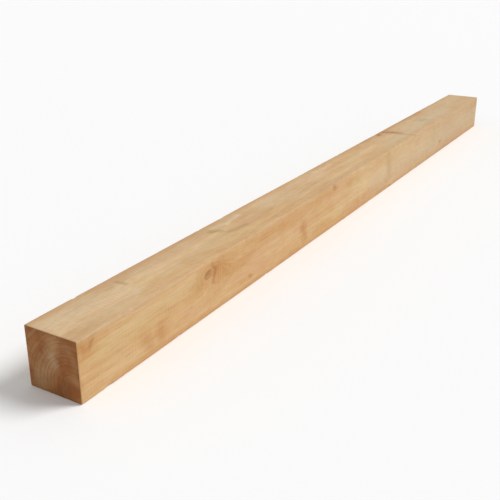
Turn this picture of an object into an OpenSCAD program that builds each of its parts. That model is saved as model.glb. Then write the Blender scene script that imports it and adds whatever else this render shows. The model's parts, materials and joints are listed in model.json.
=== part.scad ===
// Square-sawn timber: one length of hardwood, sawn square on four sides and crosscut at both ends.
// The timber lies along X on the plane Z = 0, and is centred on the origin in X and Y.

/* [Timber] */
// Overall length, from long point to long point
length = 3000; // [1000:50:6000]
// Width of the sawn section, along Y
width = 150; // [75:5:300]
// Height of the sawn section, along Z
height = 150; // [75:5:300]

/* [Arrises] */
// Radius to which handling has worn the four long arrises
arris_radius = 2.5; // [1:0.5:12]
// Width of the bevel that the saw and handling leave round each end
end_bevel = 1; // [0.5:0.5:6]

/* [Crosscuts] */
// Degrees that the near end is out of square in plan, positive where its right side runs long
near_yaw = 1; // [-4:0.1:4]
// Degrees that the near end is out of plumb, positive where its top runs long
near_pitch = 0; // [-4:0.1:4]
// Degrees that the far end is out of square in plan, positive where its right side runs long
far_yaw = 0; // [-4:0.1:4]
// Degrees that the far end is out of plumb, positive where its top runs long
far_pitch = 0; // [-4:0.1:4]

/* [Hidden] */
$fn = 64;

// How far past the timber each cutting shape reaches
overcut = 50;
// A block of this size cuts the whole section away, at any end angle
waste_size = 2 * (width + height + overcut);

// How far a cut at these angles leans back, from the long point inside its bevel to the middle of the end
function end_recess(yaw, pitch) =
    abs(tan(yaw)) * (width / 2 - end_bevel) + abs(tan(pitch)) / cos(yaw) * (height / 2 - end_bevel);

// Square-cornered bite that leaves one arris round, with its corner at the origin and its body at -X, -Y
module arris_bite() {
    difference() {
        translate([-arris_radius, -arris_radius])
            square(arris_radius + overcut);
        translate([-arris_radius, -arris_radius])
            circle(r = arris_radius);
    }
}

// The sawn section in its own plane, with its base on the first axis and all four arrises eased
module sawn_section() {
    difference() {
        translate([-width / 2, 0])
            square([width, height]);
        for (side = [0, 1], top = [0, 1])
            translate([(side - 0.5) * width, top * height])
                mirror([1 - side, 0])
                    mirror([0, 1 - top])
                        arris_bite();
    }
}

// The section run out along X, longer than needed at both ends
module rough_length() {
    run = length + 2 * overcut;
    translate([-run / 2, 0, 0])
        rotate([90, 0, 90])
            linear_extrude(run)
                sawn_section();
}

// Places its children at the middle of one end, with local X square to the cut and pointing out of the timber
module at_end(out, yaw, pitch) {
    translate([out * (length / 2 - end_recess(yaw, pitch)), 0, height / 2])
        rotate([0, out * pitch, out * yaw])
            mirror([(1 - out) / 2, 0, 0])
                children();
}

// All that the crosscut takes off beyond the end, in the end's own place
module crosscut_waste() {
    translate([0, -waste_size / 2, -waste_size / 2])
        cube(waste_size);
}

// Wedge off one edge of the end, for an edge that runs along the third axis at this distance out
module bevel_waste(reach) {
    translate([0, reach - end_bevel, 0])
        rotate([0, 0, 45])
            translate([0, 0, -waste_size / 2])
                cube([waste_size, waste_size, waste_size]);
}

// The bevels off the four edges of an end, in the end's own place
module end_bevel_waste() {
    for (turn = [0, 180]) {
        rotate([turn, 0, 0])
            bevel_waste(width / 2);
        rotate([turn + 90, 0, 0])
            bevel_waste(height / 2);
    }
}

module plank() {
    color("burlywood")
        difference() {
            rough_length();
            for (cut = [[-1, near_yaw, near_pitch], [1, far_yaw, far_pitch]])
                at_end(cut[0], cut[1], cut[2]) {
                    crosscut_waste();
                    end_bevel_waste();
                }
        }
}

plank();
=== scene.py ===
"""A square-sawn hardwood plank, lying on a pale floor.

The plank is one fine mesh that stands for its CAD solid. Saw marks, worn arrises and the crosscut ends
are in the mesh. The wood is a solid procedural grain, with growth rings round a pith that wanders along
the length, so the rings on the ends run on as the grain of the faces. Lengths are in metres, in the
part's own frame.
"""
import json
import math
from collections import namedtuple

import bpy
import numpy as np
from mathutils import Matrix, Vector


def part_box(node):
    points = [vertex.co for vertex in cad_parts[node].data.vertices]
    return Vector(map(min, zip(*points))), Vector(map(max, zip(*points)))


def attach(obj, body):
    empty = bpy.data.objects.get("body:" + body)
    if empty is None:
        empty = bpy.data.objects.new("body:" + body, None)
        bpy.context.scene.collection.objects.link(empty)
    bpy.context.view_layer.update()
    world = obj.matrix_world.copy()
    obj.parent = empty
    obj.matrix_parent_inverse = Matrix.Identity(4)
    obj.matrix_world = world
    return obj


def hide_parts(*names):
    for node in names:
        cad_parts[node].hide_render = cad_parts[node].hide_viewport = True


SEED = 11

# Arris sizes of the CAD part
ARRIS_RADIUS = 0.0025
END_BEVEL = 0.001

# Mesh density: rows along the length, rows at each end in bevel widths, steps in from the arrises of a face
LENGTH_STEPS = 1180
BEVEL_ROWS = (0.0, 1.0, 2.5)
FACE_STEPS_FROM_ARRIS = (0.0, 0.0015, 0.004, 0.009, 0.017, 0.030, 0.045, 0.060)
ARC_STEPS = 3

# Grid of an end, and the rim that is left round it
END_GRID = 56
END_MARGIN = 0.0032

# Flat map, in shares of its side: margin, strip for half the length, side of an end, step between the ends
MAP_MARGIN = 0.005
MAP_STRIP = 0.4
MAP_END = 0.18
MAP_END_STEP = 0.216

# Share of the length where the second strip starts, just short of half for the rounding of the row there
MAP_SPLIT = 0.5 - 1e-6

# Saw marks of the long faces. A spacing is how far apart the random values of a noise lie
SAW_PITCH = 0.0115
SAW_DEPTH = 0.00024
SAW_LEAN = 0.07
SAW_DRIFT = 0.25 * SAW_PITCH
SAW_UNEVEN = 0.45
SAW_SPACING = 0.05

# Slow hollows of the long faces
HOLLOW_DEPTH = 0.0005
HOLLOW_SPACING = 0.35
CUP_SPACING = 0.6

# Wear and chips of the arrises, and of the rim of each end
WEAR_DEPTH = 0.0009
WEAR_FROM_CORNER = 0.001
WEAR_REACH = 0.0032
WEAR_SPACING = 0.12
FRAY_SHARE = 0.75
FRAY_SPACING = 0.02
CHIPS_PER_ARRIS = 8
CHIP_DEPTH = (0.0008, 0.0022)
CHIP_LENGTH = (0.004, 0.014)
RIM_WEAR = 0.25 * END_BEVEL
RIM_SPACING = 0.008
RIM_FACE_STEP = 0.2
RIM_DRAWS = 120

# Saw marks of the ends, which run across them in slightly bowed lines
CROSSCUT_PITCH = 0.0052
CROSSCUT_DEPTH = 0.00022
CROSSCUT_WAY = (0.28, 0.96)
CROSSCUT_BOW = 1.3
CROSSCUT_BOW_MIDDLE = -0.02
CROSSCUT_START = 0.1
CROSSCUT_UNEVEN = 0.4
CROSSCUT_SPACING = 0.013
CROSSCUT_DRAWS = 60

# Growth of the tree: the pith's Y and Z and its radius, the rings and their taper along the length, and the
# waves of the grain. A rate is how often a noise repeats in a metre
PITH = (-0.052, 0.030)
PITH_RADIUS = 0.001
PITH_WANDER = 0.022
PITH_WANDER_RATE = (0.7, 0.0, 0.0)
RING_WIDTH = 0.0098
RING_TAPER = 0.0035
RING_UNEVEN = 1.6
RING_UNEVEN_RATE = 45.0
GRAIN_WAVE = 0.018
GRAIN_WAVE_RATE = (1.9, 8.0, 8.0)

# Darkness through one year's growth: a thin dark line, then pale wood, then slowly darker
RING_STOPS = ((0.0, 0.9), (0.07, 0.55), (0.2, 0.12), (0.55, 0.0), (0.88, 0.3), (1.0, 0.9))

# Form of a knot, in knot radii: how far the grain bends, by how much, the stained halo, and the soft edge
KNOT_REACH = 2.0
KNOT_BULGE = 1.5
KNOT_HALO = 2.2
KNOT_EDGE = (0.5, 1.3)

# Slant and flatness of a knot on its face, the depths between which it grows, and a gap beyond any knot
KNOT_LEAN = 0.2
KNOT_FLATNESS = 0.42
KNOT_ROOT = (-0.060, -0.030)
KNOT_FAR = 1.0

# Loops and fine lines of grain round a knot: how far apart, and how patterns sway them, in radians
KNOT_LOOP = 0.011
KNOT_LOOP_SWAY = {"ragged": 5.0, "blotch": 9.0}
KNOT_LINE = 0.0032
KNOT_LINE_SWAY = {"fibre": 4.0}

# Strength of a knot's halo and of the knot, and how far the loops, the lines and a ragged noise change them
HALO_TINT = 0.55
HALO_LOOPS = 0.24
KNOT_TINT = 0.62
KNOT_LOOPS = 0.14
KNOT_LINES = 0.16
KNOT_RAGGED = 0.9
KNOT_BREAKS = (0.42, 0.62)

# Edges of the marks: how far they sway, and how ragged and soft they are, in half widths
MARK_SWAY = (0.024, 0.016, 0.016)
MARK_SWAY_RATE = (16.0, 30.0, 30.0)
MARK_RAGGED = 1.8
MARK_EDGE = (-0.2, 1.3)

# Patterns of the long grain: length along the grain, width across it, noise detail and roughness
LONG_PATTERNS = {
    "bands": (0.90, 0.050, 3.0, 0.55),
    "blotch": (0.17, 0.045, 4.0, 0.55),
    "hue": (0.31, 0.062, 3.0, 0.50),
    "streaks": (0.30, 0.009, 2.0, 0.50),
    "ragged": (0.034, 0.011, 3.0, 0.60),
    "fibre": (0.060, 0.0022, 3.0, 0.65),
    "vessels": (0.040, 0.0009, 1.0, 0.50),
}

# Tone of the long grain, from 0, palest, to 1: its middle, and how much each thing darkens it
TONE = 0.36
TONE_SHARES = {"bands": 0.85, "blotch": 0.80, "streaks": 0.26, "ragged": 0.24}
HEART_TONE = 0.14
HEART_RADIUS = (0.090, 0.170)
HEART_EDGE = 0.05
RING_TONE = 0.10

# Weathered wood: the heights and the bands in which it comes in at the top, and its stretch to the far end
TOP_WEATHER = (0.135, 0.150)
BAND_WEATHER = (0.34, 0.66)
FAR_WEATHER = (-0.4, 1.2)
WEATHER_TINT = 0.55

# Vessels cut along the long grain, darker in the dark part of a ring
VESSEL_EDGE = (0.58, 0.70)
VESSEL_TINT = 0.20
VESSEL_RING_TINT = 0.30

# Fine lines of fibre torn by the saw, and the patches of them
KERF_PITCH = 0.0045
KERF_RATE = 5.0
KERF_EDGE = (0.45, 0.70)
KERF_PATCHES = (0.36, 0.64)
KERF_TINT = 0.14

# Patterns of the end grain
END_BLOT_RATE = (3.0, 24.0, 24.0)
END_BROKEN_RATE = (0.0, 31.0, 31.0)
END_BROKEN_EDGE = (0.32, 0.62)
END_PORE_RATE = (0.0, 900.0, 900.0)
END_RAGGED_RATE = 60.0
END_RAGGED_SLICE = 0.5
END_OFF_PITH = (0.006, 0.030)
RAY_RATE = 42.0
RAY_BREAK_RATE = 16.0

# Dark year rings of an end: their strength, and their share where they are whole and what breaks take off it
DARK_RING_TINT = 0.50
DARK_RING_WHOLE = 1.1
DARK_RING_BROKEN = 0.7

# Finish of the wood: the bump, with the height of each thing in it, the roughness and the gloss
BUMP_DISTANCE = 0.0006
LONG_BUMP = 0.35
FIBRE_HEIGHT = 0.7
RAGGED_HEIGHT = 0.35
VESSEL_HEIGHT = -0.5
KERF_HEIGHT = -0.6
LONG_ROUGHNESS = 0.70
FIBRE_ROUGHNESS = 0.16
LONG_SPECULAR = 0.25
END_BUMP = 0.4
PORE_HEIGHT = -0.6
RING_HEIGHT = 0.5
END_ROUGHNESS = 0.78
PORE_ROUGHNESS = 0.12
END_SPECULAR = 0.2

# Materials: the middle of a noise, and the sockets of a colour mix, which share their names with others
NOISE_MIDDLE = 0.5
MIX_COLOURS = (6, 7)
MIX_RESULT = 2

# Camera, where the photograph's stood, turned so that the whole plank fills the frame
CAMERA_PLACE = Vector((-2.496, -1.069, 0.905))
CAMERA_AZIMUTH = 30.49
CAMERA_ELEVATION = -22.11
CAMERA_LENS_MM = 55.1
CAMERA_SENSOR_MM = 36.0
CAMERA_CLIP = 200.0

# Light and floor. The floor and the sky are paler to the camera than to the plank
SUN_STRENGTH = 2.15
SUN_ANGLE = 28.0
SUN_FROM = Vector((0.47, -0.49, 0.73))
SKY_STRENGTH = 0.50
SKY_SEEN = 1.0
FLOOR_HALF = 60.0
FLOOR_LIT = 0.88
FLOOR_SEEN = 0.96
FLOOR_ROUGHNESS = 0.9
FLOOR_SPECULAR = 0.1


def srgb(red, green, blue):
    """A colour given as 0 to 255 values on screen, as the linear colour that shaders take."""
    def linear(value):
        share = value / 255
        return share / 12.92 if share <= 0.04045 else ((share + 0.055) / 1.055) ** 2.4
    return (linear(red), linear(green), linear(blue), 1.0)


# Colours of the wood, as they would look on screen in plain light
CREAM = srgb(224, 198, 156)
PALE_TAN = srgb(215, 182, 136)
TAN = srgb(209, 169, 119)
HONEY = srgb(200, 152, 97)
AMBER = srgb(184, 128, 74)
RUST = srgb(160, 98, 50)
UMBER = srgb(98, 64, 38)
ROSE = srgb(211, 168, 132)
STRAW = srgb(213, 187, 138)
SILVER = srgb(191, 167, 135)
CHALK = srgb(224, 208, 178)
ASH = srgb(204, 191, 163)
OLIVE = srgb(170, 141, 95)
MOSS = srgb(152, 147, 122)
END_BROWN = srgb(174, 121, 74)
END_RED = srgb(157, 97, 51)
END_PALE = srgb(185, 144, 101)
END_DARK = srgb(110, 67, 37)

# Tone of the long grain as colours, from pale to dark
TONE_STOPS = ((0.0, CREAM), (0.28, PALE_TAN), (0.52, TAN), (0.78, HONEY), (1.0, AMBER))

# Layers of tint: the values of a pattern at which a layer starts and is full, and its strength there
Layer = namedtuple("Layer", "tint start full strength")
ROSE_HUE = Layer(ROSE, 0.50, 0.68, 0.45)
STRAW_HUE = Layer(STRAW, 0.48, 0.34, 0.45)
DARK_FIBRE = Layer(AMBER, 0.44, 0.74, 0.26)
PALE_FIBRE = Layer(CREAM, 0.48, 0.28, 0.20)
KNOT_CORE = Layer(UMBER, 0.50, 0.85, 0.60)
LONG_SAW = Layer(AMBER, 0.30, 0.70, 0.16)
END_BLOT = Layer(END_RED, 0.36, 0.66, 1.00)
END_RING = Layer(END_PALE, 0.35, 1.00, 0.42)
END_RAY = Layer(END_DARK, 0.48, 0.75, 0.28)
END_PORE = Layer(UMBER, 0.55, 0.68, 0.24)
END_SAW = Layer(END_DARK, 0.20, 0.60, 0.34)

# Long faces: the axis that each is square to, and the corner of the box that it meets, 0 lowest or 1 highest
FACES = {"right": (1, 0), "top": (2, 1), "left": (1, 1), "under": (2, 0)}

# Knots: face, place along it and across it, radius, and how dark they are
KNOTS = (
    ("right", (-1.016, 0.115), 0.0130, 0.66),
    ("right", (-0.988, 0.116), 0.0190, 0.34),
    ("right", (0.905, 0.048), 0.0060, 0.50),
    ("left", (0.365, 0.066), 0.0110, 0.66),
    ("left", (0.388, 0.078), 0.0140, 0.36),
    ("left", (-0.840, 0.110), 0.0080, 0.65),
    ("under", (-0.430, 0.012), 0.0110, 0.66),
    ("under", (1.120, -0.030), 0.0090, 0.65),
    ("top", (0.474, 0.057), 0.0095, 0.95),
)

# Marks on the long faces, mostly of sawing, storage and weather, with painted shade along the top's left
# arris: face, start and end along and across it, half width, tint, strength
FACE_MARKS = (
    ("right", (-1.459, 0.132), (-1.460, 0.120), 0.0100, RUST, 0.60),
    ("right", (-1.488, 0.134), (-1.478, 0.120), 0.0160, AMBER, 0.68),
    ("right", (-1.500, 0.010), (-1.500, 0.140), 0.0050, HONEY, 0.70),
    ("right", (-1.276, 0.046), (-1.268, 0.034), 0.0300, AMBER, 0.50),
    ("right", (-1.222, 0.052), (-1.216, 0.034), 0.0260, AMBER, 0.55),
    ("right", (-1.080, 0.100), (-1.050, 0.094), 0.0220, AMBER, 0.30),
    ("right", (-0.996, 0.140), (-0.984, 0.118), 0.0064, RUST, 0.52),
    ("right", (-0.982, 0.116), (-0.994, 0.086), 0.0096, RUST, 0.66),
    ("right", (-0.810, 0.031), (-0.800, 0.026), 0.0075, RUST, 0.55),
    ("right", (-0.482, 0.074), (-0.466, 0.036), 0.0260, AMBER, 0.70),
    ("right", (-0.258, 0.139), (-0.248, 0.136), 0.0120, RUST, 0.50),
    ("right", (0.020, 0.080), (0.700, 0.090), 0.0900, CREAM, 0.26),
    ("right", (0.100, 0.052), (1.480, 0.072), 0.0500, ASH, 0.36),
    ("right", (0.240, 0.134), (0.262, 0.066), 0.0300, OLIVE, 0.36),
    ("right", (0.262, 0.006), (0.286, 0.002), 0.0090, RUST, 0.60),
    # A darker band along the foot of the right face
    ("right", (-1.400, 0.002), (1.600, 0.002), 0.0150, AMBER, 0.46),
    ("top", (-1.470, 0.014), (-1.250, -0.004), 0.0540, CHALK, 0.46),
    ("top", (-1.160, 0.016), (-0.950, 0.014), 0.0480, CHALK, 0.28),
    ("top", (-0.560, 0.030), (-0.160, 0.030), 0.0400, CHALK, 0.26),
    ("top", (0.350, -0.026), (1.140, -0.020), 0.0440, ASH, 0.42),
    # Painted shade: these two dark bands along the top's left arris stand for the shadow of the gap to a
    # neighbouring timber
    ("top", (-1.600, 0.074), (1.600, 0.074), 0.0190, AMBER, 0.46),
    ("top", (0.320, 0.078), (0.980, 0.078), 0.0340, RUST, 0.32),
    ("top", (-1.228, 0.044), (-1.224, 0.018), 0.0085, OLIVE, 0.75),
    ("top", (-0.834, 0.032), (-0.814, 0.020), 0.0190, OLIVE, 0.85),
    ("top", (-0.806, 0.048), (-0.756, 0.040), 0.0140, CHALK, 0.38),
    ("top", (-0.762, 0.034), (-0.672, 0.042), 0.0110, CHALK, 0.42),
    ("top", (-0.806, -0.006), (-0.735, -0.018), 0.0110, OLIVE, 0.55),
    ("top", (-0.160, 0.048), (-0.110, 0.042), 0.0130, CHALK, 0.34),
    ("top", (-0.112, 0.036), (-0.036, 0.044), 0.0110, CHALK, 0.36),
    ("top", (0.534, 0.060), (0.550, -0.074), 0.0095, AMBER, 0.74),
    ("top", (0.534, 0.058), (0.552, 0.016), 0.0110, RUST, 0.55),
    # A neutral darker patch on the top, beside the dark line across it
    ("top", (0.536, 0.050), (0.556, 0.006), 0.0360, UMBER, 0.30),
    ("top", (0.820, 0.002), (0.860, -0.010), 0.0300, MOSS, 0.46),
    ("left", (-0.600, 0.140), (-0.596, 0.010), 0.0220, OLIVE, 0.30),
    ("left", (0.880, 0.140), (0.884, 0.010), 0.0220, OLIVE, 0.28),
    ("under", (-0.900, -0.060), (-0.896, 0.060), 0.0240, OLIVE, 0.30),
    ("under", (0.620, -0.060), (0.622, 0.060), 0.0240, OLIVE, 0.30),
)

# Patches of dry pale wood and damp red wood: end, start and end as Y and Z, half width, tint, strength
END_MARKS = (
    ("near_end", (-0.006, 0.130), (0.006, 0.086), 0.0240, END_PALE, 0.80),
    ("near_end", (0.018, 0.060), (0.038, 0.026), 0.0350, END_PALE, 0.95),
    ("near_end", (-0.050, 0.120), (-0.030, 0.128), 0.0190, END_PALE, 0.45),
    ("near_end", (-0.032, 0.058), (-0.012, 0.006), 0.0360, END_RED, 1.00),
    ("near_end", (-0.040, 0.040), (-0.018, 0.008), 0.0240, END_DARK, 0.40),
    ("near_end", (-0.001, 0.094), (-0.007, 0.076), 0.0150, CHALK, 0.24),
    ("near_end", (-0.060, 0.108), (-0.066, 0.050), 0.0120, END_PALE, 0.35),
    ("far_end", (0.020, 0.100), (0.034, 0.050), 0.0340, END_PALE, 0.60),
)


def on_face(box, face, along, across):
    """A place on a long face. Across it is Z on the two sides, and Y on the top and the underside."""
    axis, corner = FACES[face]
    place = [along, across, across]
    place[axis] = box[corner][axis]
    return place


def out_of_face(face):
    """The way out of a long face, as Y and Z."""
    axis, corner = FACES[face]
    way = [0.0, 0.0]
    way[axis - 1] = 2.0 * corner - 1.0
    return way


def face_strokes(box):
    """The marks of the long faces as strokes: start, end, half width, tint and strength."""
    return [
        (on_face(box, face, *start), on_face(box, face, *end), half_width, tint, strength)
        for face, start, end, half_width, tint, strength in FACE_MARKS
    ]


def end_strokes(mounts):
    """The patches of the two ends as strokes, each at the middle of its end."""
    strokes = []
    for name, start, end, half_width, tint, strength in END_MARKS:
        x = mounts[name]["pos_m"][0]
        strokes.append(((x, *start), (x, *end), half_width, tint, strength))
    return strokes


# The plank's mesh

def smooth_noise(places, spacing, rng, draws):
    """Random values from -1 to 1, one at every spacing, joined by smooth curves. Places start at zero."""
    values = rng.uniform(-1, 1, draws + 2)
    share = np.clip(places / spacing, 0, draws)
    index = np.floor(share).astype(int)
    blend = share - index
    blend = blend * blend * (3 - 2 * blend)
    return values[index] * (1 - blend) + values[index + 1] * blend


def as_share(wave):
    """A wave from -1 to 1, as a share from 0 to 1."""
    return 0.5 + 0.5 * wave


def ripple(turns):
    """A wave from 0 to 1, once for each turn."""
    return as_share(np.sin(2 * math.pi * turns))


def section_outline(width, height):
    """Points round the section as (y, z), with their outward normals, faces and places across those faces.

    The round starts at the foot of the right face, and goes up it, over the top, down the left and under.
    """
    radius = ARRIS_RADIUS
    points, normals, faces, across = [], [], [], []
    sides = (
        (height, np.array((-width / 2, 0.0)), np.array((0.0, 1.0)), np.array((-1.0, 0.0))),
        (width, np.array((-width / 2, height)), np.array((1.0, 0.0)), np.array((0.0, 1.0))),
        (height, np.array((width / 2, height)), np.array((0.0, -1.0)), np.array((1.0, 0.0))),
        (width, np.array((width / 2, 0.0)), np.array((-1.0, 0.0)), np.array((0.0, -1.0))),
    )
    for face, (span, corner, way, out) in enumerate(sides):
        flat = span - 2 * radius
        steps = [step for step in FACE_STEPS_FROM_ARRIS if step < flat / 2]
        places = [radius + step for step in steps]
        places += [span / 2]
        places += [span - radius - step for step in reversed(steps)]
        for place in places:
            points.append(corner + way * place)
            normals.append(out)
            faces.append(face)
            across.append(place)
        centre = corner + way * (span - radius) - out * radius
        for step in range(1, ARC_STEPS):
            turn = math.pi / 2 * step / ARC_STEPS
            normal = out * math.cos(turn) + way * math.sin(turn)
            points.append(centre + normal * radius)
            normals.append(normal)
            faces.append(face)
            across.append(span - radius + turn * radius)
    return np.array(points), np.array(normals), np.array(faces), np.array(across)


def arris_nearness(points, width, height):
    """How near each point of the section is to an arris, from 0 to 1, and which arris that is."""
    corners = np.array(((-width / 2, 0), (-width / 2, height), (width / 2, height), (width / 2, 0)))
    gaps = np.linalg.norm(points[:, None, :] - corners[None, :, :], axis=2)
    nearest = gaps.argmin(axis=1)
    nearness = np.exp(-((gaps.min(axis=1) - WEAR_FROM_CORNER) / WEAR_REACH) ** 2)
    return nearness, nearest


def saw_relief(x, faces, across, rng):
    """Depth of the long faces below their flats, from saw marks and hollows, and the marks from 0 to 1."""
    relief = np.zeros((len(x), len(faces)))
    marks = np.zeros((len(x), len(faces)))
    places = x - x.min()
    draws = int(places.max() / SAW_SPACING) + 2
    for face in range(len(FACES)):
        columns = np.where(faces == face)[0]
        drift = SAW_DRIFT * smooth_noise(places, SAW_SPACING, rng, draws)
        strength = 1 - SAW_UNEVEN + SAW_UNEVEN * smooth_noise(places, SAW_SPACING, rng, draws)
        slow = smooth_noise(places, HOLLOW_SPACING, rng, draws)
        cup = smooth_noise(places, CUP_SPACING, rng, draws)
        lean = SAW_LEAN * rng.choice((-1, 1))
        sweep = (places + drift)[:, None] + lean * across[columns][None, :]
        bow = np.sin(math.pi * across[columns] / across[columns].max())
        marks[:, columns] = strength[:, None] * ripple(sweep / SAW_PITCH)
        relief[:, columns] = SAW_DEPTH * marks[:, columns]
        relief[:, columns] += HOLLOW_DEPTH * as_share(slow * cup)[:, None] * bow[None, :]
    return relief, marks


def arris_relief(x, nearness, nearest, rng):
    """Depth of the wear and the chips along the four long arrises."""
    places = x - x.min()
    draws = int(places.max() / FRAY_SPACING) + 2
    relief = np.zeros((len(x), len(nearness)))
    for arris in range(len(FACES)):
        columns = np.where(nearest == arris)[0]
        slow = as_share(smooth_noise(places, WEAR_SPACING, rng, draws))
        fray = as_share(smooth_noise(places, FRAY_SPACING, rng, draws))
        depth = WEAR_DEPTH * slow * (1 - FRAY_SHARE + FRAY_SHARE * fray)
        for _ in range(CHIPS_PER_ARRIS):
            middle = rng.uniform(0, places.max())
            reach = rng.uniform(*CHIP_LENGTH)
            deep = rng.uniform(*CHIP_DEPTH)
            share = np.clip(1 - ((places - middle) / reach) ** 2, 0, 1)
            depth = np.maximum(depth, deep * share)
        relief[:, columns] = depth[:, None] * nearness[columns][None, :]
    return relief


def end_plane(mount):
    """The function x(y, z) of an end's plane, from its mount in the record."""
    place = mount["pos_m"]
    axis = mount["axis"]
    def depth(y, z):
        return place[0] - (axis[1] * (y - place[1]) + axis[2] * (z - place[2])) / axis[0]
    return depth


def row_shares(length):
    """The rows along the plank, as shares of its length. The bevel's rows take the place of even ones."""
    bevel_rows = np.array(BEVEL_ROWS) * END_BEVEL / length
    skipped = len(BEVEL_ROWS) - 1
    even_rows = np.linspace(0, 1, LENGTH_STEPS + 1)[skipped:-skipped]
    return np.concatenate((bevel_rows, even_rows, 1 - bevel_rows[::-1]))


def sawn_body(planes, length, width, height, rng):
    """The long faces, as a grid of points in rows along the length.

    It also gives each row's share of the length, each column's share of the way round, and the saw marks.
    """
    points, normals, faces, across = section_outline(width, height)
    nearness, nearest = arris_nearness(points, width, height)
    shares = row_shares(length)
    x = shares * length
    relief, marks = saw_relief(x, faces, across, rng)
    relief += arris_relief(x, nearness, nearest, rng)
    relief[[0, -1]] += END_BEVEL
    round_places = across + RIM_FACE_STEP * faces
    for row in (1, -2):
        relief[row] += RIM_WEAR * (1 + smooth_noise(round_places, RIM_SPACING, rng, RIM_DRAWS))
    section = points[None, :, :] - normals[None, :, :] * relief[:, :, None]
    start, stop = [plane(section[:, :, 0], section[:, :, 1]) for plane in planes]
    along = start + shares[:, None] * (stop - start)
    body = np.dstack((along, section))
    steps = np.linalg.norm(np.roll(points, -1, axis=0) - points, axis=1)
    round_shares = np.concatenate(((0.0,), np.cumsum(steps))) / steps.sum()
    return body, shares, round_shares, marks


def body_faces(shares, round_shares):
    """The quads of the long faces, and their corners in the flat map: a strip for each half length."""
    columns = len(round_shares) - 1
    row, column = np.meshgrid(np.arange(len(shares) - 1), np.arange(columns), indexing="ij")
    corners = [(row, column), (row + 1, column), (row + 1, column + 1), (row, column + 1)]
    half = (shares[row] > MAP_SPLIT).astype(float)
    strip = MAP_STRIP - 2 * MAP_MARGIN
    quads, places = [], []
    for corner_row, corner_column in corners:
        quads.append(corner_row * columns + corner_column % columns)
        u = MAP_MARGIN + (2 * shares[corner_row] - half) * (1 - 2 * MAP_MARGIN)
        v = MAP_MARGIN + half * MAP_STRIP + round_shares[corner_column] * strip
        places.append(np.stack((u, v), axis=-1))
    return np.stack(quads, axis=-1).reshape(-1, 4).tolist(), np.stack(places, axis=2).reshape(-1, 2)


def crosscut_end(plane, inward, width, height, rng):
    """A grid of points over one sawn end, and its saw marks from 0 to 1."""
    grid = np.linspace(0, 1, END_GRID + 1)
    y = -width / 2 + END_MARGIN + grid * (width - 2 * END_MARGIN)
    z = END_MARGIN + grid * (height - 2 * END_MARGIN)
    y, z = np.meshgrid(y, z, indexing="ij")
    sweep = CROSSCUT_WAY[0] * (y + CROSSCUT_START) + CROSSCUT_WAY[1] * z
    sweep += CROSSCUT_BOW * (y - CROSSCUT_BOW_MIDDLE) ** 2
    uneven = smooth_noise(sweep.ravel() + CROSSCUT_START, CROSSCUT_SPACING, rng, CROSSCUT_DRAWS)
    strength = 1 - CROSSCUT_UNEVEN + CROSSCUT_UNEVEN * uneven.reshape(sweep.shape)
    marks = strength * ripple(sweep / CROSSCUT_PITCH)
    x = plane(y, z) + inward * CROSSCUT_DEPTH * marks
    return np.stack((x, y, z), axis=-1).reshape(-1, 3), marks.ravel()


def zip_rings(first, first_shares, second, second_shares):
    """Triangles that join two closed rings of vertices, given how far round each vertex lies."""
    rings = (first, second)
    steps = [(share, 0) for share in (*first_shares[1:], 1.0)]
    steps += [(share, 1) for share in (*second_shares[1:], 1.0)]
    faces = []
    done = [0, 0]
    for _, ring in sorted(steps):
        here, across = [vertices[count % len(vertices)] for vertices, count in zip(rings, done)]
        done[ring] += 1
        onward = rings[ring][done[ring] % len(rings[ring])]
        faces.append((here, across, onward))
    return faces


def end_faces(first, rim, round_shares):
    """The faces of an end: its grid, whose points start at first, and a strip that joins it to the rim."""
    index = first + np.arange((END_GRID + 1) ** 2).reshape(END_GRID + 1, END_GRID + 1)
    quads = np.stack((index[:-1, :-1], index[1:, :-1], index[1:, 1:], index[:-1, 1:]), axis=-1)
    ring = np.concatenate((index[0, :-1], index[:-1, -1], index[-1, :0:-1], index[:0:-1, 0])).tolist()
    ring_shares = np.arange(len(ring)) / len(ring)
    return quads.reshape(-1, 4).tolist() + zip_rings(rim, round_shares[:-1], ring, ring_shares)


def plank_geometry(box, mounts):
    """The plank's points, faces, flat map and saw marks, and how many of the faces are on its long sides."""
    rng = np.random.default_rng(SEED)
    low, high = box
    length, width, height = high - low
    planes = [end_plane(mounts[name]) for name in ("near_end", "far_end")]
    body, shares, round_shares, marks = sawn_body(planes, length, width, height, rng)
    rows, columns = marks.shape
    polygons, flat_map = body_faces(shares, round_shares)
    side_count = len(polygons)
    vertices = body.reshape(-1, 3)
    marks = marks.ravel()
    for end, plane in enumerate(planes):
        inward = 1 - 2 * end
        points, end_marks = crosscut_end(plane, inward, width, height, rng)
        rim_start = end * (rows - 1) * columns
        rim = list(range(rim_start, rim_start + columns))
        faces = end_faces(len(vertices), rim, round_shares)
        if end == 0:
            faces = [face[::-1] for face in faces]
        vertices = np.concatenate((vertices, points))
        marks = np.concatenate((marks, end_marks))
        polygons += faces
        corners = vertices[[corner for face in faces for corner in face]]
        u = MAP_MARGIN + MAP_END_STEP * end + MAP_END * (corners[:, 1] / width + 0.5)
        v = MAP_MARGIN + 2 * MAP_STRIP + MAP_END * corners[:, 2] / height
        flat_map = np.concatenate((flat_map, np.stack((u, v), axis=-1)))
    return vertices, polygons, flat_map, marks, side_count


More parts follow.
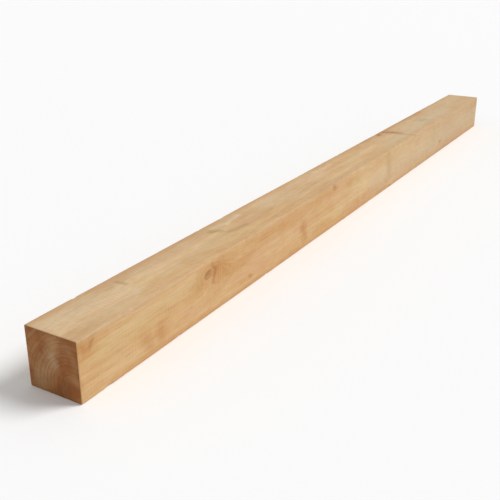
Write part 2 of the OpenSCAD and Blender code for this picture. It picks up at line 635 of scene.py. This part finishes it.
def build_plank(box, mounts):
    """The plank's mesh object: four long faces for the first material, and two ends for the second."""
    vertices, polygons, flat_map, marks, side_count = plank_geometry(box, mounts)
    mesh = bpy.data.meshes.new("plank_timber")
    mesh.from_pydata(vertices.tolist(), [], polygons)
    on_ends = np.arange(len(polygons)) >= side_count
    mesh.polygons.foreach_set("use_smooth", np.ones(len(polygons), dtype=bool))
    mesh.polygons.foreach_set("material_index", on_ends.astype(np.int32))
    mesh.uv_layers.new(name="OFBake").data.foreach_set("uv", flat_map.ravel().astype(np.float32))
    mesh.attributes.new("saw", "FLOAT", "POINT").data.foreach_set("value", marks.astype(np.float32))
    mesh.update()
    plank = bpy.data.objects.new("plank_timber", mesh)
    bpy.context.scene.collection.objects.link(plank)
    return plank


# Materials

class Graph:
    """Short ways to add nodes to a material. A value is a number, a colour or another node's socket."""

    def __init__(self, name):
        self.material = bpy.data.materials.new(name)
        self.material.use_nodes = True
        self.tree = self.material.node_tree
        self.tree.nodes.clear()

    def node(self, kind, **settings):
        """A new node with these settings."""
        made = self.tree.nodes.new(kind)
        for key, value in settings.items():
            setattr(made, key, value)
        return made

    def feed(self, socket, value):
        """Link or set an input."""
        if isinstance(value, bpy.types.NodeSocket):
            self.tree.links.new(value, socket)
        else:
            socket.default_value = value

    def math(self, operation, *values, clamp=False):
        """A number worked out from others."""
        made = self.node("ShaderNodeMath", operation=operation, use_clamp=clamp)
        for socket, value in zip(made.inputs, values):
            self.feed(socket, value)
        return made.outputs[0]

    def add(self, *values):
        """The sum of these values."""
        total = values[0]
        for value in values[1:]:
            total = self.math("ADD", total, value)
        return total

    def times(self, *values):
        """The product of these values."""
        total = values[0]
        for value in values[1:]:
            total = self.math("MULTIPLY", total, value)
        return total

    def minus(self, first, second):
        """The first value less the second."""
        return self.math("SUBTRACT", first, second)

    def swing(self, value, share):
        """A noise from 0 to 1, as one that swings to both sides of zero, times a share."""
        return self.times(self.minus(value, NOISE_MIDDLE), share)

    def hypot(self, first, second):
        """The length of the long side of a right-angled triangle."""
        return self.math("SQRT", self.add(self.times(first, first), self.times(second, second)))

    def vector(self, x, y, z):
        """A vector from its three parts."""
        made = self.node("ShaderNodeCombineXYZ")
        for socket, value in zip(made.inputs, (x, y, z)):
            self.feed(socket, value)
        return made.outputs[0]

    def split(self, vector):
        """The three parts of a vector."""
        made = self.node("ShaderNodeSeparateXYZ")
        self.feed(made.inputs[0], vector)
        return made.outputs

    def vectors(self, operation, first, second=None):
        """A vector, or for a dot product or a length, its number."""
        made = self.node("ShaderNodeVectorMath", operation=operation)
        self.feed(made.inputs[0], first)
        if second is not None:
            self.feed(made.inputs[1], second)
        return made.outputs["Value" if operation in ("DOT_PRODUCT", "LENGTH") else "Vector"]

    def at_rate(self, place, rates):
        """A space in which a noise repeats at these rates along X, Y and Z."""
        return self.vectors("MULTIPLY", place, rates)

    def noise(self, space, detail=2.0, roughness=0.5, colour=False):
        """A noise from 0 to 1, or three of them as a colour."""
        made = self.node("ShaderNodeTexNoise", noise_dimensions="3D")
        self.feed(made.inputs["Vector"], space)
        made.inputs["Scale"].default_value = 1.0
        made.inputs["Detail"].default_value = detail
        made.inputs["Roughness"].default_value = roughness
        return made.outputs[1 if colour else 0]

    def rise(self, value, start, full):
        """0 before the start, 1 when full and smooth between. It falls where full is below the start."""
        made = self.node("ShaderNodeMapRange", interpolation_type="SMOOTHSTEP")
        self.feed(made.inputs["Value"], value)
        made.inputs["From Min"].default_value = start
        made.inputs["From Max"].default_value = full
        return made.outputs[0]

    def fall(self, value, full, end):
        """1 up to full, 0 past the end and smooth between."""
        return self.rise(value, end, full)

    def ramp(self, value, stops):
        """A colour by a value, from stops of place and colour."""
        made = self.node("ShaderNodeValToRGB")
        ramp = made.color_ramp
        ramp.elements[0].position, ramp.elements[0].color = stops[0]
        ramp.elements[1].position, ramp.elements[1].color = stops[-1]
        for position, colour in stops[1:-1]:
            element = ramp.elements.new(position)
            element.color = colour
        self.feed(made.inputs[0], value)
        return made.outputs[0]

    def tint(self, colour, other, *shares):
        """A colour, moved towards another by the product of these shares."""
        made = self.node("ShaderNodeMix", data_type="RGBA")
        self.feed(made.inputs["Factor"], self.times(*shares))
        for index, value in zip(MIX_COLOURS, (colour, other)):
            self.feed(made.inputs[index], value)
        return made.outputs[MIX_RESULT]

    def layer(self, colour, layer, value, *shares):
        """A colour under one of the layers of tint, by a pattern's value, where these shares let it show."""
        cover = self.rise(value, layer.start, layer.full)
        return self.tint(colour, layer.tint, cover, *shares, layer.strength)

    def bump(self, height, strength):
        """A normal with fine relief."""
        made = self.node("ShaderNodeBump")
        made.inputs["Strength"].default_value = strength
        made.inputs["Distance"].default_value = BUMP_DISTANCE
        self.feed(made.inputs["Height"], height)
        return made.outputs[0]

    def finish(self, colour, normal, roughness, specular):
        """The material, with its shader and output."""
        shader = self.node("ShaderNodeBsdfPrincipled")
        self.feed(shader.inputs["Base Color"], colour)
        self.feed(shader.inputs["Normal"], normal)
        self.feed(shader.inputs["Roughness"], roughness)
        shader.inputs["Specular IOR Level"].default_value = specular
        output = self.node("ShaderNodeOutputMaterial")
        self.tree.links.new(shader.outputs[0], output.inputs["Surface"])
        return self.material


class Grain:
    """The fields of the wood: distance from the pith, rings, knots, and a space that follows the grain."""

    def __init__(self, graph, box):
        self.graph = graph
        self.place = graph.node("ShaderNodeTexCoord").outputs["Object"]
        self.x, self.y, self.z = graph.split(self.place)
        self.wavy = self.swaying()
        self.away_y, self.away_z = self.away_from_pith()
        self.knot = 0.0
        self.knot_halo = 0.0
        self.knot_gap = KNOT_FAR
        swell = 0.0
        for face, place, size, dark in KNOTS:
            centre = on_face(box, face, *place)
            swell = graph.add(swell, self.add_knot(centre, out_of_face(face), size, dark))
        plain_radius = graph.hypot(self.away_y, self.away_z)
        radius = graph.minus(plain_radius, swell)
        flow = graph.math("DIVIDE", radius, graph.math("MAXIMUM", plain_radius, PITH_RADIUS))
        self.flow_y = graph.times(self.away_y, flow)
        self.flow_z = graph.times(self.away_z, flow)
        self.radius = graph.add(radius, graph.times(self.x, RING_TAPER))
        uneven = graph.noise(graph.vector(graph.times(self.radius, RING_UNEVEN_RATE), 0.0, 0.0), detail=1.0)
        rings = graph.add(graph.times(self.radius, 1 / RING_WIDTH), graph.times(uneven, RING_UNEVEN))
        self.ring = graph.math("FRACT", rings)
        tint = graph.node("ShaderNodeTexWhiteNoise", noise_dimensions="1D")
        graph.feed(tint.inputs["W"], graph.math("FLOOR", rings))
        self.ring_tint = tint.outputs[0]

    def swaying(self):
        """The place in the wood, pushed about so that straight strokes get wavy edges."""
        graph = self.graph
        noise = graph.noise(graph.at_rate(self.place, MARK_SWAY_RATE), colour=True)
        sway = graph.vectors("SUBTRACT", noise, (NOISE_MIDDLE, NOISE_MIDDLE, NOISE_MIDDLE))
        return graph.vectors("ADD", self.place, graph.vectors("MULTIPLY", sway, MARK_SWAY))

    def away_from_pith(self):
        """The way from the pith, which wanders along the length, as Y and Z, with the waves of the grain."""
        graph = self.graph
        wander = graph.noise(graph.at_rate(self.place, PITH_WANDER_RATE), detail=1.0, colour=True)
        wave = graph.noise(graph.at_rate(self.place, GRAIN_WAVE_RATE), colour=True)
        ways = []
        for across, pith, drift, sway in zip((self.y, self.z), PITH, graph.split(wander), graph.split(wave)):
            plain = graph.add(across, -pith, graph.swing(drift, PITH_WANDER))
            ways.append(graph.add(plain, graph.swing(sway, GRAIN_WAVE)))
        return ways

    def along(self, length, width):
        """A space drawn out along the grain, for patterns about this long and this wide."""
        graph = self.graph
        y = graph.times(self.flow_y, 1 / width)
        z = graph.times(self.flow_z, 1 / width)
        return graph.vector(graph.times(self.x, 1 / length), y, z)

    def add_knot(self, centre, out_way, size, dark):
        """Add one knot's own marks. It gives how far the rings bulge there."""
        graph = self.graph
        side_y, side_z = -out_way[1], out_way[0]
        level = centre[1] * out_way[0] + centre[2] * out_way[1]
        middle = centre[1] * side_y + centre[2] * side_z
        out = graph.add(graph.times(self.y, out_way[0]), graph.times(self.z, out_way[1]), -level)
        side = graph.add(graph.times(self.y, side_y), graph.times(self.z, side_z), -middle)
        along = graph.add(self.x, -centre[0], graph.times(side, KNOT_LEAN))
        gap = graph.hypot(graph.times(along, math.sqrt(KNOT_FLATNESS)), side)
        facing = graph.rise(out, *KNOT_ROOT)
        share = graph.times(gap, 1 / size)
        bulge = graph.math("EXPONENT", graph.times(share, share, -1 / KNOT_REACH ** 2))
        halo = graph.math("EXPONENT", graph.times(share, share, -1 / KNOT_HALO ** 2))
        knot = graph.times(graph.fall(share, *KNOT_EDGE), facing, dark)
        far = graph.times(graph.minus(1.0, facing), KNOT_FAR)
        self.knot = graph.math("MAXIMUM", self.knot, knot)
        self.knot_halo = graph.math("MAXIMUM", self.knot_halo, graph.times(halo, facing, dark))
        self.knot_gap = graph.math("MINIMUM", self.knot_gap, graph.add(gap, far))
        return graph.times(bulge, facing, KNOT_BULGE * size)

    def knot_waves(self, spacing, sway, pattern):
        """Lines of grain round the knots, from -1 to 1, this far apart and swayed by these patterns."""
        phase = self.graph.times(self.knot_gap, 2 * math.pi / spacing)
        for name, share in sway.items():
            phase = self.graph.add(phase, self.graph.times(pattern[name], share))
        return self.graph.math("SINE", phase)

    def ring_darkness(self):
        """How dark the wood is through one year's growth."""
        return self.graph.ramp(self.ring, [(place, (dark, dark, dark, 1.0)) for place, dark in RING_STOPS])


def add_marks(grain, colour, strokes, ragged):
    """Lay soft strokes over a colour. A stroke runs from start to end, and a noise frays its edge."""
    graph = grain.graph
    edge = graph.swing(ragged, MARK_RAGGED)
    for start, end, half_width, tint, strength in strokes:
        run = [to - back for back, to in zip(start, end)]
        run_square = sum(step * step for step in run)
        from_start = graph.vectors("SUBTRACT", grain.wavy, start)
        reach = graph.vectors("DOT_PRODUCT", from_start, run)
        share = graph.math("MULTIPLY", reach, 1 / run_square, clamp=True)
        nearest = graph.node("ShaderNodeVectorMath", operation="SCALE")
        nearest.inputs[0].default_value = run
        graph.feed(nearest.inputs["Scale"], share)
        gap = graph.vectors("LENGTH", graph.vectors("SUBTRACT", from_start, nearest.outputs[0]))
        cover = graph.fall(graph.add(graph.times(gap, 1 / half_width), edge), *MARK_EDGE)
        colour = graph.tint(colour, tint, cover, strength)
    return colour


def clear_wood(grain, rings, pattern):
    """The long grain's own colour, golden near the pith, and silvery where sun and rain have been at it."""
    graph = grain.graph
    heart = graph.fall(graph.add(grain.radius, graph.swing(pattern["bands"], HEART_EDGE)), *HEART_RADIUS)
    tone = graph.add(TONE, graph.times(heart, HEART_TONE), graph.times(rings, RING_TONE))
    tone = graph.add(tone, graph.swing(grain.ring_tint, RING_TONE))
    for name, share in TONE_SHARES.items():
        tone = graph.add(tone, graph.swing(pattern[name], share))
    colour = graph.ramp(tone, TONE_STOPS)
    colour = graph.layer(colour, ROSE_HUE, pattern["hue"])
    colour = graph.layer(colour, STRAW_HUE, pattern["hue"])
    top = graph.times(graph.rise(grain.z, *TOP_WEATHER), graph.rise(pattern["bands"], *BAND_WEATHER))
    weather = graph.math("MAXIMUM", top, graph.rise(grain.x, *FAR_WEATHER))
    return graph.tint(colour, SILVER, weather, WEATHER_TINT)


def add_fibres(grain, rings, pattern, vessels, colour):
    """Dark and pale fibres, and the short dark lines of cut vessels."""
    graph = grain.graph
    colour = graph.layer(colour, DARK_FIBRE, pattern["fibre"])
    colour = graph.layer(colour, PALE_FIBRE, pattern["fibre"])
    return graph.tint(colour, RUST, vessels, graph.add(VESSEL_TINT, graph.times(rings, VESSEL_RING_TINT)))


def add_knots(grain, pattern, colour):
    """Knots with a stained halo, loops of grain round them, and a dark broken middle."""
    graph = grain.graph
    loops = grain.knot_waves(KNOT_LOOP, KNOT_LOOP_SWAY, pattern)
    lines = grain.knot_waves(KNOT_LINE, KNOT_LINE_SWAY, pattern)
    colour = graph.tint(colour, AMBER, grain.knot_halo, graph.add(HALO_TINT, graph.times(loops, HALO_LOOPS)))
    streaks = graph.add(graph.times(loops, KNOT_LOOPS), graph.times(lines, KNOT_LINES))
    strength = graph.add(KNOT_TINT, streaks, graph.swing(pattern["ragged"], KNOT_RAGGED))
    colour = graph.tint(colour, RUST, grain.knot, strength)
    return graph.layer(colour, KNOT_CORE, grain.knot, graph.rise(pattern["ragged"], *KNOT_BREAKS))


def saw_marks(graph):
    """The saw marks that the mesh carries, from 0 to 1."""
    return graph.node("ShaderNodeAttribute", attribute_name="saw").outputs["Fac"]


def kerf_fuzz(grain, blotch):
    """Fine lines of torn fibre across the faces, in patches."""
    graph = grain.graph
    sweep = graph.add(grain.x, graph.times(graph.add(grain.y, grain.z), SAW_LEAN))
    y = graph.times(grain.y, KERF_RATE)
    z = graph.times(grain.z, KERF_RATE)
    lines = graph.noise(graph.vector(graph.times(sweep, 1 / KERF_PITCH), y, z))
    return graph.times(graph.rise(lines, *KERF_EDGE), graph.rise(blotch, *KERF_PATCHES))


def side_wood(box):
    """Sawn long grain, for the four long faces."""
    graph = Graph("sawn_long_grain")
    grain = Grain(graph, box)
    rings = grain.ring_darkness()
    pattern = {}
    for name, (length, width, detail, roughness) in LONG_PATTERNS.items():
        pattern[name] = graph.noise(grain.along(length, width), detail, roughness)
    vessels = graph.rise(pattern["vessels"], *VESSEL_EDGE)
    fuzz = kerf_fuzz(grain, pattern["blotch"])
    colour = clear_wood(grain, rings, pattern)
    colour = add_fibres(grain, rings, pattern, vessels, colour)
    colour = add_marks(grain, colour, face_strokes(box), pattern["ragged"])
    colour = add_knots(grain, pattern, colour)
    colour = graph.layer(colour, LONG_SAW, pattern["blotch"], saw_marks(graph))
    colour = graph.tint(colour, AMBER, fuzz, KERF_TINT)
    grooves = graph.add(graph.times(vessels, VESSEL_HEIGHT), graph.times(fuzz, KERF_HEIGHT))
    ridges = graph.times(pattern["ragged"], RAGGED_HEIGHT)
    height = graph.add(graph.times(pattern["fibre"], FIBRE_HEIGHT), ridges, grooves)
    roughness = graph.add(LONG_ROUGHNESS, graph.times(pattern["fibre"], FIBRE_ROUGHNESS))
    return graph.finish(colour, graph.bump(height, LONG_BUMP), roughness, LONG_SPECULAR)


def end_rays(grain):
    """Fine rays that spread from the pith, from 0 to 1."""
    graph = grain.graph
    y = graph.times(graph.math("DIVIDE", grain.away_y, grain.radius), RAY_RATE)
    z = graph.times(graph.math("DIVIDE", grain.away_z, grain.radius), RAY_RATE)
    return graph.noise(graph.vector(y, z, graph.times(grain.radius, RAY_BREAK_RATE)))


def end_wood(box, mounts):
    """Crosscut end grain: darker than the faces, with year rings, fine rays from the pith and open pores."""
    graph = Graph("crosscut_end_grain")
    grain = Grain(graph, box)
    rings = grain.ring_darkness()
    blot = graph.noise(graph.at_rate(grain.place, END_BLOT_RATE), detail=4.0)
    broken = graph.rise(graph.noise(graph.at_rate(grain.place, END_BROKEN_RATE)), *END_BROKEN_EDGE)
    pores = graph.noise(graph.at_rate(grain.place, END_PORE_RATE), detail=1.0)
    ragged_y = graph.times(grain.y, END_RAGGED_RATE)
    ragged_z = graph.times(grain.z, END_RAGGED_RATE)
    ragged = graph.noise(graph.vector(END_RAGGED_SLICE, ragged_y, ragged_z), detail=4.0)
    off_pith = graph.rise(grain.radius, *END_OFF_PITH)
    whole = graph.minus(DARK_RING_WHOLE, graph.times(broken, DARK_RING_BROKEN))
    colour = graph.layer(END_BROWN, END_BLOT, blot)
    colour = add_marks(grain, colour, end_strokes(mounts), ragged)
    colour = graph.layer(colour, END_RING, grain.ring_tint, off_pith, broken)
    colour = graph.tint(colour, END_DARK, rings, off_pith, whole, DARK_RING_TINT)
    colour = graph.layer(colour, END_RAY, end_rays(grain), off_pith)
    colour = graph.layer(colour, END_PORE, pores)
    colour = graph.layer(colour, END_SAW, blot, saw_marks(graph))
    height = graph.add(graph.times(pores, PORE_HEIGHT), graph.times(rings, RING_HEIGHT))
    roughness = graph.add(END_ROUGHNESS, graph.times(pores, PORE_ROUGHNESS))
    return graph.finish(colour, graph.bump(height, END_BUMP), roughness, END_SPECULAR)


# Stage

def seen_by_camera(tree):
    """1 for rays that show the stage, in the picture or in a reflection, and 0 for those that only light."""
    path = tree.nodes.new("ShaderNodeLightPath")
    seen = path.outputs["Is Camera Ray"]
    for ray in ("Is Glossy Ray", "Is Transmission Ray"):
        either = tree.nodes.new("ShaderNodeMath")
        either.operation = "MAXIMUM"
        tree.links.new(seen, either.inputs[0])
        tree.links.new(path.outputs[ray], either.inputs[1])
        seen = either.outputs[0]
    return seen


def level_by_ray(tree, lit, seen):
    """A socket with one level for rays that light the plank, and another for rays that show the stage."""
    level = tree.nodes.new("ShaderNodeMapRange")
    level.inputs["To Min"].default_value = lit
    level.inputs["To Max"].default_value = seen
    tree.links.new(seen_by_camera(tree), level.inputs["Value"])
    return level.outputs[0]


def make_floor():
    """A wide pale floor at the plank's foot."""
    half = FLOOR_HALF
    corners = [(-half, -half, 0), (half, -half, 0), (half, half, 0), (-half, half, 0)]
    mesh = bpy.data.meshes.new("floor")
    mesh.from_pydata(corners, [], [(0, 1, 2, 3)])
    floor = bpy.data.objects.new("floor", mesh)
    bpy.context.scene.collection.objects.link(floor)
    material = bpy.data.materials.new("pale_floor")
    material.use_nodes = True
    tree = material.node_tree
    shader = tree.nodes["Principled BSDF"]
    tree.links.new(level_by_ray(tree, FLOOR_LIT, FLOOR_SEEN), shader.inputs["Base Color"])
    shader.inputs["Roughness"].default_value = FLOOR_ROUGHNESS
    shader.inputs["Specular IOR Level"].default_value = FLOOR_SPECULAR
    mesh.materials.append(material)


def make_light():
    """A broad soft sun from the right and behind, and a plain pale sky, which the camera sees as white."""
    data = bpy.data.lights.new("key", "SUN")
    data.energy = SUN_STRENGTH
    data.angle = math.radians(SUN_ANGLE)
    key = bpy.data.objects.new("key", data)
    key.rotation_mode = "QUATERNION"
    key.rotation_quaternion = SUN_FROM.to_track_quat("Z", "Y")
    bpy.context.scene.collection.objects.link(key)
    world = bpy.data.worlds.new("sky")
    bpy.context.scene.world = world
    world.use_nodes = True
    tree = world.node_tree
    background = tree.nodes["Background"]
    tree.links.new(level_by_ray(tree, SKY_STRENGTH, SKY_SEEN), background.inputs["Strength"])
    background.inputs["Color"].default_value = (1.0, 1.0, 1.0, 1.0)


def make_camera():
    """The photograph's viewpoint, looking along the plank."""
    data = bpy.data.cameras.new("camera")
    data.sensor_width = CAMERA_SENSOR_MM
    data.lens = CAMERA_LENS_MM
    data.clip_end = CAMERA_CLIP
    camera = bpy.data.objects.new("camera", data)
    camera.location = CAMERA_PLACE
    azimuth = math.radians(CAMERA_AZIMUTH)
    elevation = math.radians(CAMERA_ELEVATION)
    level = math.cos(elevation)
    look = Vector((math.cos(azimuth) * level, math.sin(azimuth) * level, math.sin(elevation)))
    camera.rotation_mode = "QUATERNION"
    camera.rotation_quaternion = look.to_track_quat("-Z", "Y")
    bpy.context.scene.collection.objects.link(camera)
    bpy.context.scene.camera = camera


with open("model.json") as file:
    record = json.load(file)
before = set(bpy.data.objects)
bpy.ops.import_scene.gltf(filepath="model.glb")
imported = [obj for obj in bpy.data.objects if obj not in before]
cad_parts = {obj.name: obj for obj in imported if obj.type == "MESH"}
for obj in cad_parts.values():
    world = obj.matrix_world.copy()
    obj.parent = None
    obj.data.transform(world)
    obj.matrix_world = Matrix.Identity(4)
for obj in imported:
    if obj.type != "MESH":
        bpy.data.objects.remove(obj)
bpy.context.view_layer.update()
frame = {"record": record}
bpy.context.scene.view_settings.view_transform = "Standard"
make_camera()
make_floor()
make_light()
plank_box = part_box("plank")
mounts = {mount["name"]: mount for mount in frame["record"]["mounts"]}
plank = build_plank(plank_box, mounts)
plank.data.materials.append(side_wood(plank_box))
plank.data.materials.append(end_wood(plank_box, mounts))
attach(plank, "root")
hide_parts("plank")
